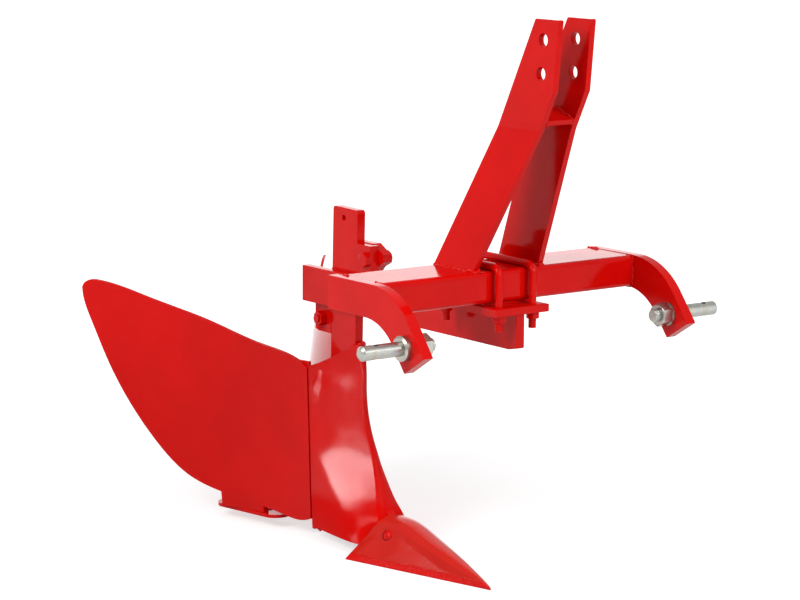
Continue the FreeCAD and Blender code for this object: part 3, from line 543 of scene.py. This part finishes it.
def lay_floor():
    """Pale floor that keeps the shadow near the object and fades to white further out."""
    bpy.ops.mesh.primitive_plane_add(size=60, location=(0, 0.5, cad_box[0].z - FLOOR_DROP))
    floor = bpy.context.object
    floor.name = "floor"
    material, shader = new_material("pale_floor")
    nodes, links = material.node_tree.nodes, material.node_tree.links
    shader.inputs["Base Color"].default_value = (*grey(FLOOR_GREY), 1)
    shader.inputs["Roughness"].default_value = 0.9
    shader.inputs["Specular IOR Level"].default_value = 0.0
    glow = nodes.new("ShaderNodeEmission")
    glow.inputs["Color"].default_value = (1, 1, 1, 1)
    spot = nodes.new("ShaderNodeTexCoord")
    far = nodes.new("ShaderNodeVectorMath")
    far.operation = "LENGTH"
    spread = nodes.new("ShaderNodeMapRange")
    spread.interpolation_type = "SMOOTHSTEP"
    spread.inputs["From Min"].default_value = FADE_FROM
    spread.inputs["From Max"].default_value = FADE_TO
    spread.inputs["To Min"].default_value = GLOW_NEAR
    spread.inputs["To Max"].default_value = GLOW_FAR
    scale = nodes.new("ShaderNodeMath")
    scale.operation = "MULTIPLY"
    links.new(spot.outputs["Object"], far.inputs[0])
    links.new(far.outputs["Value"], spread.inputs["Value"])
    links.new(spread.outputs["Result"], scale.inputs[1])
    links.new(background_rays(nodes, links, ("Is Glossy Ray",)), scale.inputs[0])
    links.new(scale.outputs[0], glow.inputs["Strength"])
    add = nodes.new("ShaderNodeAddShader")
    links.new(shader.outputs["BSDF"], add.inputs[0])
    links.new(glow.outputs["Emission"], add.inputs[1])
    out = next(node for node in nodes if node.type == "OUTPUT_MATERIAL")
    links.new(add.outputs[0], out.inputs["Surface"])
    floor.data.materials.append(material)


def fill_world():
    """Even light on the object, white where the background is seen."""
    world = bpy.data.worlds.new("studio")
    bpy.context.scene.world = world
    world.use_nodes = True
    nodes, links = world.node_tree.nodes, world.node_tree.links
    nodes.clear()
    out = nodes.new("ShaderNodeOutputWorld")
    back = nodes.new("ShaderNodeBackground")
    level = nodes.new("ShaderNodeMapRange")
    level.inputs["To Min"].default_value = LIGHT_ON_OBJECT
    level.inputs["To Max"].default_value = WHITE_BACKGROUND
    rays = background_rays(nodes, links, ("Is Transmission Ray", "Is Glossy Ray"))
    links.new(rays, level.inputs["Value"])
    links.new(level.outputs["Result"], back.inputs["Strength"])
    links.new(back.outputs["Background"], out.inputs["Surface"])


def facing(azimuth, elevation):
    """Way from the object to where a light or the camera stands, from angles in degrees."""
    a, e = math.radians(azimuth), math.radians(elevation)
    return Vector((math.sin(a) * math.cos(e), -math.cos(a) * math.cos(e), math.sin(e)))


def panel(name, azimuth, elevation, wide, high, brightness, distance=2.5, aim=(0, 0.4, 0), roll=0.0,
          only_on=(), not_on=(), shine_only=False, soft_only=False):
    """Soft light panel: where it stands and how large it looks from the aim, in degrees, and how bright."""
    back_to = facing(azimuth, elevation)
    light = bpy.data.lights.new(name, "AREA")
    light.shape = "RECTANGLE"
    light.size = 2 * distance * math.tan(math.radians(wide / 2))
    light.size_y = 2 * distance * math.tan(math.radians(high / 2))
    light.energy = brightness * math.pi * light.size * light.size_y
    holder = bpy.data.objects.new(name, light)
    bpy.context.scene.collection.objects.link(holder)
    holder.location = Vector(aim) + back_to * distance
    holder.rotation_mode = "QUATERNION"
    turn = Quaternion((0, 0, 1), math.radians(roll))
    holder.rotation_quaternion = back_to.to_track_quat("Z", "Y") @ turn
    holder.visible_camera = False
    holder.visible_diffuse = not shine_only
    holder.visible_glossy = not soft_only
    if only_on or not_on:
        lit = bpy.data.collections.new(name + "_lights")
        for piece in (*only_on, *not_on):
            lit.objects.link(bpy.data.objects[piece])
        for entry in lit.collection_objects:
            entry.light_linking.link_state = "EXCLUDE" if not_on else "INCLUDE"
        holder.light_linking.receiver_collection = lit


BREAST_AT = (-0.02, 0.52, -0.33)


def hang_panels():
    panel("key_softbox", -84, 34, 31, 25, 8.2, distance=3.2)
    panel("front_softbox", 8, 28, 26, 20, 8.9, distance=3.4, not_on=["breast_finished"])
    panel("breast_front_softbox", 8, 28, 26, 20, 8.9, distance=3.4,
          only_on=["breast_finished"], soft_only=True)
    panel("back_wall", 158, 6, 60, 44, 1.05, shine_only=True)
    panel("wing_wall", 165, 6, 36, 24, 3.0, aim=(0.1, 0.7, -0.2), only_on=["left_wing"], shine_only=True)
    panel("breast_strip", -127, -3, 47, 11, 21, distance=1.5, aim=BREAST_AT, roll=43,
          only_on=["breast_finished"], shine_only=True)
    panel("breast_strip_spill", -128, -3, 52, 13, 4.0, distance=1.5, aim=BREAST_AT, roll=43,
          only_on=["breast_finished"], shine_only=True)
    panel("breast_side_strip", -66, -5, 16, 16, 12, distance=1.5, aim=(-0.03, 0.56, -0.2),
          only_on=["breast_finished"], shine_only=True)
    panel("share_top_panel", 147, 50, 46, 30, 1.7, distance=2.0, aim=(0, 0.3, -0.4),
          only_on=["share_finished"], shine_only=True)
    panel("share_cheek_panel", -113, 25, 13, 11, 7.0, distance=3.0, aim=(-0.01, 0.29, -0.42),
          only_on=["share_finished"], shine_only=True)
    panel("pin_panel", 40, 14, 30, 40, 1.0, distance=2.0, aim=(0, 0, 0), shine_only=True,
          only_on=[*COATS[ZINC], "left_pin_thread", "right_pin_thread"])


CAMERA_AZIMUTH, CAMERA_ELEVATION, CAMERA_ROLL = -36.81, 9.59, 0.35
CAMERA_AT = (-2.58719, -3.08879, 0.72401)
CAMERA_LENS = 121.59


def set_camera():
    data = bpy.data.cameras.new("camera")
    camera = bpy.data.objects.new("camera", data)
    bpy.context.scene.collection.objects.link(camera)
    back_to = facing(CAMERA_AZIMUTH, CAMERA_ELEVATION)
    a, roll = math.radians(CAMERA_AZIMUTH), math.radians(CAMERA_ROLL)
    level_right = Vector((math.cos(a), math.sin(a), 0))
    level_up = back_to.cross(level_right)
    right = level_right * math.cos(roll) + level_up * math.sin(roll)
    up = level_up * math.cos(roll) - level_right * math.sin(roll)
    turn = Matrix((right, up, back_to)).transposed()
    camera.matrix_world = Matrix.Translation(CAMERA_AT) @ turn.to_4x4()
    data.sensor_width = 36
    data.lens = CAMERA_LENS
    data.clip_end = 200
    bpy.context.scene.camera = camera
    bpy.context.scene.view_settings.view_transform = "Standard"


lay_floor()
fill_world()
hang_panels()
set_camera()
